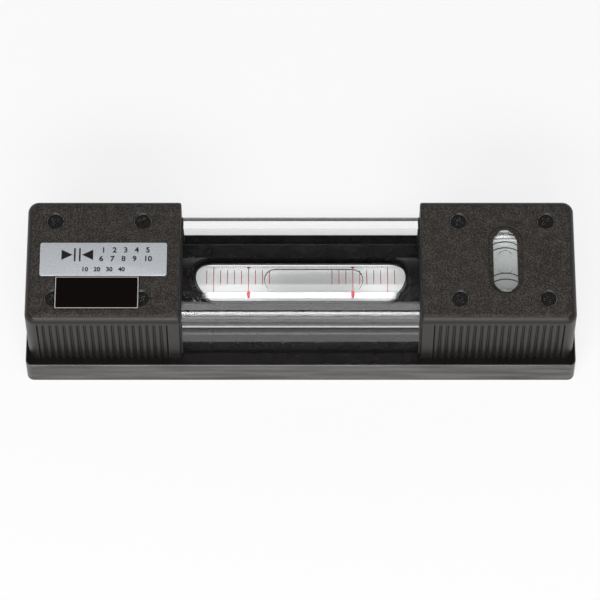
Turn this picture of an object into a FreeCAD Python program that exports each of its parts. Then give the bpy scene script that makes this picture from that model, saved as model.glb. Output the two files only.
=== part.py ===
import FreeCAD, Part
import math
import os

# Precision machinist level, horizontal type, with a 200 mm sole.
# Millimetres. +X runs along the sole, +Y to the back and +Z up.
# The origin is at the middle of the sole, on the plane that it rests on.

V = FreeCAD.Vector
X_AXIS = V(1, 0, 0)
Y_AXIS = V(0, 1, 0)
Z_AXIS = V(0, 0, 1)

# ---------------------------------------------------------------- driving dimensions

# Cast iron base: a ground slab with a V-groove in its sole
length = 200.0
base_width = 56.0
base_height = 12.0
base_corner = 2.5
base_chamfer = 0.4
groove_width = 24.0
groove_angle = 140.0
relief_width = 2.0
relief_depth = 0.6

# Deck and half-round bridge, cast in one with the base
deck_half_width = 19.0
deck_rise = 5.0
deck_end_margin = 7.0
deck_edge = 0.8
bridge_radius = 11.2
bridge_end_margin = 2.0
bridge_root = 1.2
tube_axis_height = 17.5

# Window in the bridge, over the vial
window_half_width = 9.4
window_half_length = 39.2
window_chamfer = 0.4

# Vial tube, which tilts on a pin at its left end
tube_radius = 9.2
tube_wall = 0.6
tube_clearance = 0.5
slot_half_width = 7.0
slot_half_length = 38.0

# Plugs that close the tube: a flange outside, a spigot inside, then a lug or a tongue
flange_thickness = 2.0
spigot_length = 4.0
spigot_gap = 0.02
lug_half_width = 5.0
lug_radius = 3.0
tongue_thickness = 5.0
tongue_length = 9.0

# Pivot pin and the two cast cheeks that carry it
pivot_reach = 5.0
pin_radius = 1.5
pin_fit = 0.05
press_gap = 0.01
cheek_thickness = 4.0
cheek_radius = 4.0
cheek_gap = 0.3
pocket_depth = 1.5

# Adjuster: a plate on two cast pads, a fine screw with a lock nut, and a leaf spring
adjuster_reach = 4.0
plate_half_length = 3.2
plate_half_width = 10.5
plate_thickness = 2.0
pad_width = 4.2
adjuster_lift = 2.0
adjuster_radius = 1.5
adjuster_fit = 0.05
adjuster_head_radius = 2.7
adjuster_head_height = 2.0
adjuster_slot_width = 0.8
adjuster_slot_depth = 1.0
nut_across_flats = 5.5
nut_height = 1.8
running_gap = 0.3
leaf_half_width = 4.0
leaf_thickness = 0.4
plate_screw_radius = 1.0
plate_screw_head_radius = 1.9
plate_screw_head_height = 1.2
plate_screw_depth = 4.0

# Main vial: ground glass barrel, closed flat at its ends
vial_radius = 8.2
vial_wall = 1.2
vial_half_length = 47.0
vial_nose = 0.8
vial_end_gap = 4.0
fill_gap = 0.05
reflector_thickness = 0.3
reflector_rim = 5.0
reflector_end_gap = 0.4
cement_length = 3.6
cement_end_margin = 1.0

# Main bubble
bubble_half_length = 18.0
bubble_depth = 1.7
bubble_gap = 0.15
bubble_x = 4.7

# Moulded end grips
grip_start = 43.3
end_ledge = 1.1
grip_width = 49.5
grip_height = 29.0
grip_wall = 2.8
grip_roof = 3.2
grip_corner = 4.0
grip_inner_corner = 0.8
grip_top_radius = 3.0
grip_cavity_corner = 1.5
grip_clearance = 0.3

# Fluted panels on the front and the back of each grip
rib_pitch = 2.48
rib_radius = 1.15
rib_depth = 0.9
rib_panel_start = 4.4
rib_panel_end = 4.1
rib_top_margin = 3.8

# Countersunk screws that hold the grips, four to each
screw_inner_margin = 13.8
screw_outer_margin = 10.2
screw_y = 15.8
post_radius = 4.2
post_height = 20.0
screw_radius = 1.5
screw_hole_radius = 1.7
screw_head_radius = 3.1
countersink_radius = 3.5
screw_length = 16.0
screw_hole_spare = 2.0
thread_gap = 0.02
recess_half_length = 1.6
recess_half_width = 0.32
recess_depth = 1.2
recess_turn = 34.0

# Clear cover between the grips, with a seal at each end
cover_half_width = 23.0
cover_height = 26.5
cover_wall = 3.7
cover_roof = 4.0
cover_shoulder = 10.2
seal_thickness = 0.6

# Cross vial in the right grip
cross_shift = 2.7
cross_radius = 5.2
cross_wall = 1.0
cross_half_length = 12.9
cross_nose = 0.8
cross_sink = 0.7
cross_fit = 0.1
cross_rim_half_width = 6.3
cross_rim_half_length = 13.75
cross_rim_depth = 1.0
cross_slot_half_width = 4.35
cross_slot_half_length = 12.3
cross_bubble_half_length = 4.7
cross_bubble_depth = 0.9
cradle_side = 1.0
cradle_base = 4.6
cradle_flange = 1.2
housing_wall = 1.6

# Plates on top of the left grip
data_plate_length = 45.6
data_plate_width = 13.4
data_plate_thickness = 0.5
data_plate_corner = 0.5
data_plate_shift = 0.1
label_length = 30.5
label_width = 13.4
label_thickness = 0.3
label_shift = 2.0
label_gap = 0.15

# ---------------------------------------------------------------- worked-out sizes

tube_half_length = vial_half_length + vial_end_gap + spigot_length
bridge_half_length = tube_half_length - bridge_end_margin
deck_half_length = length / 2 - deck_end_margin
cement_start = vial_half_length - cement_end_margin - cement_length
reflector_half_length = cement_start - reflector_end_gap
grip_end = length / 2 - end_ledge
grip_centre = (grip_start + grip_end) / 2
rib_count = round((grip_end - grip_start - rib_panel_start - rib_panel_end) / rib_pitch)
screw_inner_x = grip_start + screw_inner_margin
screw_outer_x = grip_end - screw_outer_margin
cross_x = grip_centre + cross_shift
data_plate_x = data_plate_shift - grip_centre
label_x = -grip_centre - label_shift
groove_depth = groove_width / 2 / math.tan(math.radians(groove_angle / 2))
deck_top = base_height + deck_rise
grip_top = base_height + grip_height
post_top = base_height + post_height
cover_end = grip_start - seal_thickness
tube_inner = tube_radius - tube_wall
bore_radius = tube_radius + tube_clearance
plug_end = tube_half_length + flange_thickness
pivot_x = -(plug_end + pivot_reach)
adjuster_x = plug_end + adjuster_reach
trough_end = plug_end + tube_clearance
pocket_floor = tube_axis_height - lug_radius - pocket_depth
tongue_top = tube_axis_height + tongue_thickness / 2
tongue_bottom = tube_axis_height - tongue_thickness / 2
plate_bottom = tongue_top + adjuster_lift
plate_top = plate_bottom + plate_thickness
nut_top = plate_top + nut_height
leaf_half_length = adjuster_x - plug_end - running_gap
bubble_stop = vial_half_length - vial_wall - vial_nose - bubble_gap
cross_bubble_stop = cross_half_length - cross_wall - cross_nose - bubble_gap
cross_axis_height = grip_top - cross_sink - cross_radius
label_y = -(data_plate_width + label_width) / 2 - label_gap


# ---------------------------------------------------------------- shape helpers

def block(x0, x1, y0, y1, z0, z1):
    """Box between two corners."""
    return Part.makeBox(x1 - x0, y1 - y0, z1 - z0, V(x0, y0, z0))


def rod(radius, start, end):
    """Round bar from one point to another."""
    axis = end - start
    return Part.makeCylinder(radius, axis.Length, start, axis)


def long_rod(radius, x0, x1, z=tube_axis_height):
    """Round bar along X at Y = 0."""
    return rod(radius, V(x0, 0, z), V(x1, 0, z))


def stadium(half_length, half_width, z0, z1, along=X_AXIS, centre=V(0, 0, 0)):
    """Upright prism with straight sides and half-round ends."""
    across = Z_AXIS.cross(along)
    foot = centre + V(0, 0, z0)
    straight = along * (half_length - half_width)
    side = across * half_width
    tip = along * half_length
    edges = [
        Part.makeLine(foot - straight - side, foot + straight - side),
        Part.Arc(foot + straight - side, foot + tip, foot + straight + side).toShape(),
        Part.makeLine(foot + straight + side, foot - straight + side),
        Part.Arc(foot - straight + side, foot - tip, foot - straight - side).toShape(),
    ]
    return Part.Face(Part.Wire(edges)).extrude(V(0, 0, z1 - z0))


def barrel(radius, half_length, nose, along, centre):
    """Round bar with flat ends and a chamfered rim."""
    body = rod(radius, centre - along * (half_length - nose), centre + along * (half_length - nose))
    for way in (-1, 1):
        shoulder = centre + along * (way * (half_length - nose))
        body = body.fuse(Part.makeCone(radius, radius - nose, nose, shoulder, along * way))
    return body.removeSplitter()


def edges_where(shape, test):
    """Edges of a shape whose middle and direction pass a test."""
    found = []
    for edge in shape.Edges:
        first = edge.Vertexes[0].Point
        last = edge.Vertexes[-1].Point
        middle = edge.valueAt((edge.FirstParameter + edge.LastParameter) / 2)
        if test(middle, last - first):
            found.append(edge)
    return found


def near(a, b):
    """True when two measures are the same within a hair."""
    return abs(a - b) < 0.001


def is_upright(run):
    """True for an edge that runs along Z."""
    return near(run.x, 0) and near(run.y, 0) and not near(run.z, 0)


# ---------------------------------------------------------------- base casting

def slab():
    """Ground slab with rounded corners, chamfered edges and a V-grooved sole."""
    half = length / 2
    body = block(-half, half, -base_width / 2, base_width / 2, 0, base_height)
    body = body.makeFillet(base_corner, edges_where(body, lambda mid, run: is_upright(run)))
    rims = edges_where(body, lambda mid, run: near(mid.z, 0) or near(mid.z, base_height))
    body = body.makeChamfer(base_chamfer, rims)
    corners = [V(-half, -groove_width / 2, 0), V(-half, groove_width / 2, 0), V(-half, 0, groove_depth)]
    groove = Part.Face(Part.makePolygon(corners + corners[:1])).extrude(V(length, 0, 0))
    relief = block(-half, half, -relief_width / 2, relief_width / 2, 0, groove_depth + relief_depth)
    return body.cut(groove.fuse(relief))


def deck():
    """Raised deck that carries the bridge, with softened edges."""
    body = block(-deck_half_length, deck_half_length, -deck_half_width, deck_half_width, base_height, deck_top)
    body = body.makeFillet(base_corner, edges_where(body, lambda mid, run: is_upright(run)))
    return body.makeFillet(deck_edge, edges_where(body, lambda mid, run: near(mid.z, deck_top)))


def bridge():
    """Half-round bridge over the vial tube, with a hollow root fillet along each foot."""
    body = long_rod(bridge_radius, -bridge_half_length, bridge_half_length)
    reach = bridge_radius + bridge_root
    rise = deck_top - tube_axis_height + bridge_root
    foot_y = math.sqrt((bridge_radius + bridge_root) ** 2 - rise ** 2)
    root = block(-bridge_half_length, bridge_half_length, -foot_y, foot_y, base_height, deck_top + bridge_root)
    for side in (-1, 1):
        start = V(-bridge_half_length, side * foot_y, deck_top + bridge_root)
        root = root.cut(rod(bridge_root, start, start + X_AXIS * 2 * bridge_half_length))
    limit = long_rod(reach, -bridge_half_length, bridge_half_length)
    return body.fuse(root.common(limit))


def window_cutter():
    """Stadium-shaped opening through the top of the bridge, with a chamfered rim."""
    top = tube_axis_height + bridge_radius + window_chamfer
    straight = stadium(window_half_length, window_half_width, tube_axis_height, top)
    rim = stadium(window_half_length + window_chamfer, window_half_width + window_chamfer,
                  tube_axis_height, top)
    outside = rim.cut(long_rod(bridge_radius - window_chamfer, -length / 2, length / 2))
    return straight.fuse(outside)


def post_centres(sign):
    """The four screw centres under one grip: sign is -1 for the left, 1 for the right."""
    centres = []
    for x in (screw_inner_x, screw_outer_x):
        for y in (-screw_y, screw_y):
            centres.append(V(sign * x, y, 0))
    return centres


def base_body():
    """The whole casting: slab, deck, bridge, posts, pivot cheeks and adjuster pads."""
    body = slab().fuse(deck()).fuse(bridge())
    cheek_outer = lug_half_width + cheek_gap + cheek_thickness
    cheek_centre = V(pivot_x, -cheek_outer, tube_axis_height)
    cheek = rod(cheek_radius, cheek_centre, cheek_centre + V(0, 2 * cheek_outer, 0))
    cheek_foot = block(pivot_x - cheek_radius, pivot_x + cheek_radius, -cheek_outer, cheek_outer,
                       base_height, tube_axis_height)
    body = body.fuse(cheek).fuse(cheek_foot)
    pads = block(adjuster_x - plate_half_length, adjuster_x + plate_half_length,
                 -plate_half_width, plate_half_width, base_height, plate_bottom)
    body = body.fuse(pads)
    for centre in post_centres(-1) + post_centres(1):
        body = body.fuse(rod(post_radius, centre + V(0, 0, base_height), centre + V(0, 0, post_top)))
    body = body.cut(long_rod(bore_radius, -trough_end, trough_end))
    pocket_half = lug_half_width + cheek_gap
    left_end = pivot_x - cheek_radius
    right_end = plug_end + tongue_length + tube_clearance
    body = body.cut(block(left_end, -tube_half_length, -pocket_half, pocket_half, pocket_floor, grip_top))
    body = body.cut(block(tube_half_length, right_end, -pocket_half, pocket_half, pocket_floor, grip_top))
    body = body.cut(window_cutter())
    hole_bottom = grip_top - screw_length - screw_hole_spare
    for centre in post_centres(-1) + post_centres(1):
        body = body.cut(rod(screw_radius + thread_gap, centre + V(0, 0, hole_bottom), centre + V(0, 0, post_top)))
    pin_start = V(pivot_x, -cheek_outer, tube_axis_height)
    body = body.cut(rod(pin_radius + press_gap, pin_start, pin_start + V(0, 2 * cheek_outer, 0)))
    for centre in plate_screw_centres():
        foot = centre + V(0, 0, plate_bottom - plate_screw_depth)
        body = body.cut(rod(plate_screw_radius + thread_gap, foot, centre + V(0, 0, plate_bottom)))
    return body.removeSplitter()


# ---------------------------------------------------------------- vial tube and its ends

def vial_tube():
    """Tube that holds the main vial, open along its top."""
    body = long_rod(tube_radius, -tube_half_length, tube_half_length)
    body = body.cut(long_rod(tube_inner, -tube_half_length, tube_half_length))
    return body.cut(stadium(slot_half_length, slot_half_width, tube_axis_height, tube_axis_height + tube_radius))


def plug_head(sign):
    """Flange and spigot that both plugs share."""
    face = sign * tube_half_length
    flange = long_rod(tube_radius, face, face + sign * flange_thickness)
    spigot = long_rod(tube_inner - spigot_gap, face - sign * spigot_length, face)
    return flange.fuse(spigot)


def pivot_plug():
    """Left plug, with a lug that turns on the pivot pin."""
    lug = block(pivot_x, -plug_end, -lug_half_width, lug_half_width,
                tube_axis_height - lug_radius, tube_axis_height + lug_radius)
    start = V(pivot_x, -lug_half_width, tube_axis_height)
    end = V(pivot_x, lug_half_width, tube_axis_height)
    body = plug_head(-1).fuse(lug).fuse(rod(lug_radius, start, end))
    return body.cut(rod(pin_radius + pin_fit, start, end)).removeSplitter()


def adjuster_plug():
    """Right plug, with a flat tongue between the adjusting screw and the leaf spring."""
    tongue = block(plug_end, plug_end + tongue_length, -lug_half_width, lug_half_width,
                   tongue_bottom, tongue_top)
    return plug_head(1).fuse(tongue).removeSplitter()


def pivot_pin():
    """Pin through both cheeks."""
    half = lug_half_width + cheek_gap + cheek_thickness
    return rod(pin_radius, V(pivot_x, -half, tube_axis_height), V(pivot_x, half, tube_axis_height))


# ---------------------------------------------------------------- adjuster

def plate_screw_centres():
    """Centres of the two small screws in the adjuster plate."""
    y = plate_half_width - pad_width / 2
    return [V(adjuster_x, -y, 0), V(adjuster_x, y, 0)]


def adjuster_plate():
    """Steel plate that bridges the tongue and carries the adjusting screw."""
    body = block(adjuster_x - plate_half_length, adjuster_x + plate_half_length,
                 -plate_half_width, plate_half_width, plate_bottom, plate_top)
    hole_start = V(adjuster_x, 0, plate_bottom)
    body = body.cut(rod(adjuster_radius + adjuster_fit, hole_start, V(adjuster_x, 0, plate_top)))
    for centre in plate_screw_centres():
        start = centre + V(0, 0, plate_bottom)
        body = body.cut(rod(plate_screw_radius + thread_gap, start, centre + V(0, 0, plate_top)))
    return body


def adjuster_plate_screws():
    """Two cheese-head screws, slotted."""
    solids = []
    for centre in plate_screw_centres():
        shank_foot = centre + V(0, 0, plate_bottom - plate_screw_depth)
        head_foot = centre + V(0, 0, plate_top)
        head_top = head_foot + V(0, 0, plate_screw_head_height)
        shank = rod(plate_screw_radius, shank_foot, head_foot)
        head = rod(plate_screw_head_radius, head_foot, head_top)
        half = adjuster_slot_width / 2
        slot = block(centre.x - plate_screw_head_radius, centre.x + plate_screw_head_radius,
                     centre.y - half, centre.y + half,
                     head_top.z - plate_screw_head_height / 2, head_top.z)
        solids.append(shank.fuse(head).cut(slot).removeSplitter())
    return Part.makeCompound(solids)


def adjusting_screw():
    """Fine screw that presses the tongue down."""
    head_bottom = nut_top + running_gap
    head_top = head_bottom + adjuster_head_height
    tip = V(adjuster_x, 0, tongue_top + running_gap)
    shank = rod(adjuster_radius, tip, V(adjuster_x, 0, head_bottom))
    head = rod(adjuster_head_radius, V(adjuster_x, 0, head_bottom), V(adjuster_x, 0, head_top))
    slot = block(adjuster_x - adjuster_head_radius, adjuster_x + adjuster_head_radius,
                 -adjuster_slot_width / 2, adjuster_slot_width / 2,
                 head_top - adjuster_slot_depth, head_top)
    return shank.fuse(head).cut(slot).removeSplitter()


def lock_nut():
    """Hexagon nut that locks the adjusting screw."""
    corner = nut_across_flats / 2 / math.cos(math.radians(30))
    points = []
    for step in range(6):
        angle = math.radians(60 * step)
        points.append(V(adjuster_x + corner * math.cos(angle), corner * math.sin(angle), plate_top))
    body = Part.Face(Part.makePolygon(points + points[:1])).extrude(V(0, 0, nut_height))
    return body.cut(rod(adjuster_radius + adjuster_fit, V(adjuster_x, 0, plate_top), V(adjuster_x, 0, nut_top)))


def leaf_spring():
    """Arched leaf of spring steel under the tongue."""
    foot = V(adjuster_x, -leaf_half_width, pocket_floor)
    rise = tongue_bottom - running_gap - pocket_floor
    inner = leaf_half_length - leaf_thickness
    outer_arc = Part.Arc(foot - X_AXIS * leaf_half_length, foot + Z_AXIS * rise,
                         foot + X_AXIS * leaf_half_length)
    inner_arc = Part.Arc(foot + X_AXIS * inner, foot + Z_AXIS * (rise - leaf_thickness), foot - X_AXIS * inner)
    edges = [
        outer_arc.toShape(),
        Part.makeLine(foot + X_AXIS * leaf_half_length, foot + X_AXIS * inner),
        inner_arc.toShape(),
        Part.makeLine(foot - X_AXIS * inner, foot - X_AXIS * leaf_half_length),
    ]
    return Part.Face(Part.Wire(edges)).extrude(V(0, 2 * leaf_half_width, 0))


# ---------------------------------------------------------------- main vial

def vial_centre():
    """Middle of the main vial."""
    return V(0, 0, tube_axis_height)


def main_vial_glass():
    """Closed glass barrel."""
    outer = barrel(vial_radius, vial_half_length, vial_nose, X_AXIS, vial_centre())
    inner = barrel(vial_radius - vial_wall, vial_half_length - vial_wall, vial_nose, X_AXIS, vial_centre())
    return outer.cut(inner)


def bubble_path_radius():
    """Radius of the surface that the top of the main bubble follows."""
    return vial_radius - vial_wall - bubble_gap


def segment_half_width(radius, depth):
    """Half the width of a circle's segment of a given depth."""
    return math.sqrt(radius ** 2 - (radius - depth) ** 2)


def main_bubble():
    """Long bubble: a shallow segment of the bore, round at both ends."""
    radius = bubble_path_radius()
    half_width = segment_half_width(radius, bubble_depth)
    flat = tube_axis_height + radius - bubble_depth
    plan = stadium(bubble_half_length, half_width, flat, tube_axis_height + radius,
                   centre=V(bubble_x, 0, 0))
    return plan.common(long_rod(radius, -vial_half_length, vial_half_length))


def main_vial_liquid():
    """Liquid, with the stretch along its top that the bubble moves in left clear."""
    radius = vial_radius - vial_wall - fill_gap
    half_length = vial_half_length - vial_wall - fill_gap
    body = barrel(radius, half_length, vial_nose, X_AXIS, vial_centre())
    half_width = segment_half_width(bubble_path_radius(), bubble_depth) + bubble_gap
    flat = tube_axis_height + bubble_path_radius() - bubble_depth - bubble_gap
    reach = bubble_stop + bubble_gap
    return body.cut(block(-reach, reach, -half_width, half_width, flat, tube_axis_height + vial_radius))


def vial_reflector():
    """White half-shell under the vial, open towards the window."""
    inner = vial_radius + (tube_inner - vial_radius - reflector_thickness) / 2
    outer = inner + reflector_thickness
    body = long_rod(outer, -reflector_half_length, reflector_half_length)
    body = body.cut(long_rod(inner, -reflector_half_length, reflector_half_length))
    return body.cut(block(-reflector_half_length, reflector_half_length, -outer, outer,
                          tube_axis_height + reflector_rim, tube_axis_height + outer))


def vial_cement(sign):
    """Ring of plaster that holds one end of the vial in the tube."""
    x0 = sign * cement_start
    x1 = sign * (cement_start + cement_length)
    return long_rod(tube_inner, x0, x1).cut(long_rod(vial_radius, x0, x1))


# ---------------------------------------------------------------- cover and seals

def cover_profile(half_width, height, shoulder, x):
    """Face of an arch with a flat crown, standing on the base."""
    z0 = base_height
    z1 = base_height + height
    tilt = shoulder * (1 - math.sqrt(0.5))
    edges = [
        Part.makeLine(V(x, -half_width, z0), V(x, -half_width, z1 - shoulder)),
        Part.Arc(V(x, -half_width, z1 - shoulder), V(x, tilt - half_width, z1 - tilt),
                 V(x, shoulder - half_width, z1)).toShape(),
        Part.makeLine(V(x, shoulder - half_width, z1), V(x, half_width - shoulder, z1)),
        Part.Arc(V(x, half_width - shoulder, z1), V(x, half_width - tilt, z1 - tilt),
                 V(x, half_width, z1 - shoulder)).toShape(),
        Part.makeLine(V(x, half_width, z1 - shoulder), V(x, half_width, z0)),
        Part.makeLine(V(x, half_width, z0), V(x, -half_width, z0)),
    ]
    return Part.Face(Part.Wire(edges))


def arch(x0, x1):
    """Length of the cover's arch section between two stations."""
    run = V(x1 - x0, 0, 0)
    outer = cover_profile(cover_half_width, cover_height, cover_shoulder, x0).extrude(run)
    inner = cover_profile(cover_half_width - cover_wall, cover_height - cover_roof,
                          cover_shoulder - cover_wall, x0).extrude(run)
    return outer.cut(inner)


# ---------------------------------------------------------------- grips

def fluted_panel(face_y, outward):
    """Cutter for the recessed panel, and the ribs that stand in it."""
    x0 = grip_start + rib_panel_start
    x1 = x0 + rib_count * rib_pitch
    top = grip_top - rib_top_margin
    floor_y = face_y - outward * rib_depth
    panel = block(x0, x1, min(face_y, floor_y), max(face_y, floor_y), base_height, top)
    ribs = []
    for index in range(rib_count):
        x = x0 + (index + 0.5) * rib_pitch
        centre = V(x, face_y - outward * rib_radius, base_height)
        ribs.append(rod(rib_radius, centre, centre + V(0, 0, top - base_height)))
    return panel, Part.makeCompound(ribs)


def grip_shell():
    """Right-hand grip before its screw holes: rounded shell with fluted front and back."""
    x0 = grip_start
    x1 = grip_end
    half = grip_width / 2
    body = block(x0, x1, -half, half, base_height, grip_top)
    outer_corners = edges_where(body, lambda mid, run: is_upright(run) and near(mid.x, x1))
    body = body.makeFillet(grip_corner, outer_corners)
    top_edges = edges_where(body, lambda mid, run: near(mid.z, grip_top) and not near(mid.x, x0))
    body = body.makeFillet(grip_top_radius, top_edges)
    inner_rim = edges_where(body, lambda mid, run: near(mid.x, x0) and not near(mid.z, base_height))
    body = body.makeFillet(grip_inner_corner, inner_rim)
    for outward in (-1, 1):
        panel, ribs = fluted_panel(outward * half, outward)
        body = body.cut(panel).fuse(ribs)
    cavity = block(x0 + grip_wall, x1 - grip_wall, grip_wall - half, half - grip_wall,
                   base_height, grip_top - grip_roof)
    soft = edges_where(cavity, lambda mid, run: is_upright(run))
    cavity = cavity.makeFillet(grip_cavity_corner, soft)
    body = body.cut(cavity)
    for centre in post_centres(1):
        body = body.fuse(rod(post_radius, centre + V(0, 0, post_top), centre + V(0, 0, grip_top - grip_roof)))
    doorway = block(x0, x0 + grip_wall, -deck_half_width - grip_clearance, deck_half_width + grip_clearance,
                    base_height, deck_top + grip_clearance)
    arch_way = long_rod(bridge_radius + bridge_root + grip_clearance, x0, x0 + grip_wall)
    return body.cut(doorway).cut(arch_way)


def drill_screw_holes(body, centres):
    """Clearance holes with countersinks."""
    cone_depth = countersink_radius - screw_hole_radius
    for centre in centres:
        foot = centre + V(0, 0, post_top)
        hole = rod(screw_hole_radius, foot, centre + V(0, 0, grip_top))
        sink = Part.makeCone(screw_hole_radius, countersink_radius, cone_depth,
                             centre + V(0, 0, grip_top - cone_depth))
        body = body.cut(hole).cut(sink)
    return body.removeSplitter()


def left_grip():
    """Grip that carries the plates."""
    shell = grip_shell().mirror(V(0, 0, 0), X_AXIS)
    return drill_screw_holes(shell, post_centres(-1))


def cross_centre():
    """Middle of the cross vial."""
    return V(cross_x, 0, cross_axis_height)


def cradle_size():
    """Half-length and half-width of the cradle's upright block."""
    return cross_half_length, cross_radius + cradle_side


def right_grip():
    """Grip with a moulded housing for the cross vial under its roof."""
    half_y, half_x = cradle_size()
    bottom = cross_axis_height - cradle_base
    housing = block(cross_x - half_x - housing_wall, cross_x + half_x + housing_wall,
                    -half_y - housing_wall, half_y + housing_wall, bottom, grip_top - grip_roof)
    body = grip_shell().fuse(housing)
    body = body.cut(barrel(cross_radius + cross_fit, cross_half_length + cross_fit, cross_nose,
                            Y_AXIS, cross_centre()))
    body = body.cut(block(cross_x - half_x - cross_fit, cross_x + half_x + cross_fit,
                          -half_y - cross_fit, half_y + cross_fit, bottom, cross_axis_height))
    body = body.cut(stadium(cross_slot_half_length, cross_slot_half_width, cross_axis_height, grip_top,
                            Y_AXIS, V(cross_x, 0, 0)))
    body = body.cut(stadium(cross_rim_half_length, cross_rim_half_width, grip_top - cross_rim_depth, grip_top,
                            Y_AXIS, V(cross_x, 0, 0)))
    return drill_screw_holes(body, post_centres(1))


def grip_screws(sign):
    """Four countersunk screws with cross recesses."""
    head_top = grip_top - (countersink_radius - screw_head_radius)
    cone_depth = screw_head_radius - screw_radius
    solids = []
    for index, centre in enumerate(post_centres(sign)):
        head = Part.makeCone(screw_radius, screw_head_radius, cone_depth,
                             centre + V(0, 0, head_top - cone_depth))
        shank = rod(screw_radius, centre + V(0, 0, grip_top - screw_length),
                    centre + V(0, 0, head_top - cone_depth))
        body = head.fuse(shank)
        for quarter in (0, 90):
            arm = block(-recess_half_length, recess_half_length, -recess_half_width, recess_half_width,
                        head_top - recess_depth, head_top)
            arm.rotate(V(0, 0, 0), Z_AXIS, quarter + recess_turn * (index + 1))
            arm.translate(centre)
            body = body.cut(arm)
        solids.append(body.removeSplitter())
    return Part.makeCompound(solids)


# ---------------------------------------------------------------- cross vial

def cross_vial_glass():
    """Small closed vial, set across the level."""
    outer = barrel(cross_radius, cross_half_length, cross_nose, Y_AXIS, cross_centre())
    inner = barrel(cross_radius - cross_wall, cross_half_length - cross_wall, cross_nose,
                    Y_AXIS, cross_centre())
    return outer.cut(inner)


def cross_bubble_path_radius():
    """Radius of the surface that the top of the cross bubble follows."""
    return cross_radius - cross_wall - bubble_gap


def cross_bubble():
    """Short bubble of the cross vial."""
    radius = cross_bubble_path_radius()
    half_width = segment_half_width(radius, cross_bubble_depth)
    flat = cross_axis_height + radius - cross_bubble_depth
    plan = stadium(cross_bubble_half_length, half_width, flat, cross_axis_height + radius,
                   Y_AXIS, V(cross_x, 0, 0))
    start = V(cross_x, -cross_half_length, cross_axis_height)
    return plan.common(rod(radius, start, start + V(0, 2 * cross_half_length, 0)))


def cross_vial_liquid():
    """Liquid of the cross vial, clear where the bubble moves."""
    radius = cross_radius - cross_wall - fill_gap
    half_length = cross_half_length - cross_wall - fill_gap
    body = barrel(radius, half_length, cross_nose, Y_AXIS, cross_centre())
    half_width = segment_half_width(cross_bubble_path_radius(), cross_bubble_depth) + bubble_gap
    flat = cross_axis_height + cross_bubble_path_radius() - cross_bubble_depth - bubble_gap
    reach = cross_bubble_stop + bubble_gap
    return body.cut(block(cross_x - half_width, cross_x + half_width, -reach, reach,
                          flat, cross_axis_height + cross_radius))


def cross_vial_cradle():
    """White cradle that holds the cross vial up from below."""
    half_y, half_x = cradle_size()
    bottom = cross_axis_height - cradle_base
    body = block(cross_x - half_x, cross_x + half_x, -half_y, half_y, bottom, cross_axis_height)
    flange = block(cross_x - half_x - housing_wall, cross_x + half_x + housing_wall,
                   -half_y - housing_wall, half_y + housing_wall, bottom - cradle_flange, bottom)
    body = body.fuse(flange)
    bed = barrel(cross_radius + fill_gap, cross_half_length + fill_gap, cross_nose, Y_AXIS, cross_centre())
    return body.cut(bed).removeSplitter()


# ---------------------------------------------------------------- plates

def plate_on_grip(centre_x, centre_y, plate_length, plate_width, thickness, corner):
    """Thin rounded plate lying on top of a grip."""
    body = block(centre_x - plate_length / 2, centre_x + plate_length / 2,
                 centre_y - plate_width / 2, centre_y + plate_width / 2, grip_top, grip_top + thickness)
    return body.makeFillet(corner, edges_where(body, lambda mid, run: is_upright(run)))


def data_plate():
    """Silver plate that gives the sensitivity."""
    return plate_on_grip(data_plate_x, 0, data_plate_length, data_plate_width,
                         data_plate_thickness, data_plate_corner)


def blank_label():
    """Black label, left bare."""
    return plate_on_grip(label_x, label_y, label_length, label_width, label_thickness, data_plate_corner)


# ---------------------------------------------------------------- all pieces

pieces = {
    "base_body": base_body(),
    "left_grip": left_grip(),
    "right_grip": right_grip(),
    "left_grip_screws": grip_screws(-1),
    "right_grip_screws": grip_screws(1),
    "clear_cover": arch(-cover_end, cover_end),
    "left_cover_seal": arch(-grip_start, -cover_end),
    "right_cover_seal": arch(cover_end, grip_start),
    "data_plate": data_plate(),
    "blank_label": blank_label(),
    "vial_tube": vial_tube(),
    "pivot_plug": pivot_plug(),
    "adjuster_plug": adjuster_plug(),
    "pivot_pin": pivot_pin(),
    "adjuster_plate": adjuster_plate(),
    "adjuster_plate_screws": adjuster_plate_screws(),
    "adjusting_screw": adjusting_screw(),
    "lock_nut": lock_nut(),
    "leaf_spring": leaf_spring(),
    "main_vial_glass": main_vial_glass(),
    "main_vial_liquid": main_vial_liquid(),
    "main_bubble": main_bubble(),
    "vial_reflector": vial_reflector(),
    "left_vial_cement": vial_cement(-1),
    "right_vial_cement": vial_cement(1),
    "cross_vial_glass": cross_vial_glass(),
    "cross_vial_liquid": cross_vial_liquid(),
    "cross_bubble": cross_bubble(),
    "cross_vial_cradle": cross_vial_cradle(),
}

os.makedirs("parts", exist_ok=True)
for name, shape in pieces.items():
    shape.exportStep(f"parts/{name}.step")
    print(f"{name:24} solids {len(shape.Solids)}  valid {shape.isValid()}  volume {shape.Volume:10.1f} mm3")
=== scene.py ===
# %% [markdown]
# # A precision machinist level
# The level is a cast iron base with a ground sole, a half-round bridge that guards a long glass vial,
# two moulded grips, and a clear cover between them. A small vial lies across the right grip.
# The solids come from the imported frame. This script gives them their finishes, adds what is printed
# and filled, and sets up the floor, the light and the camera.

# %% Load the frame and measure it
import math

import bmesh
import bpy
from mathutils import Matrix, Vector


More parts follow.
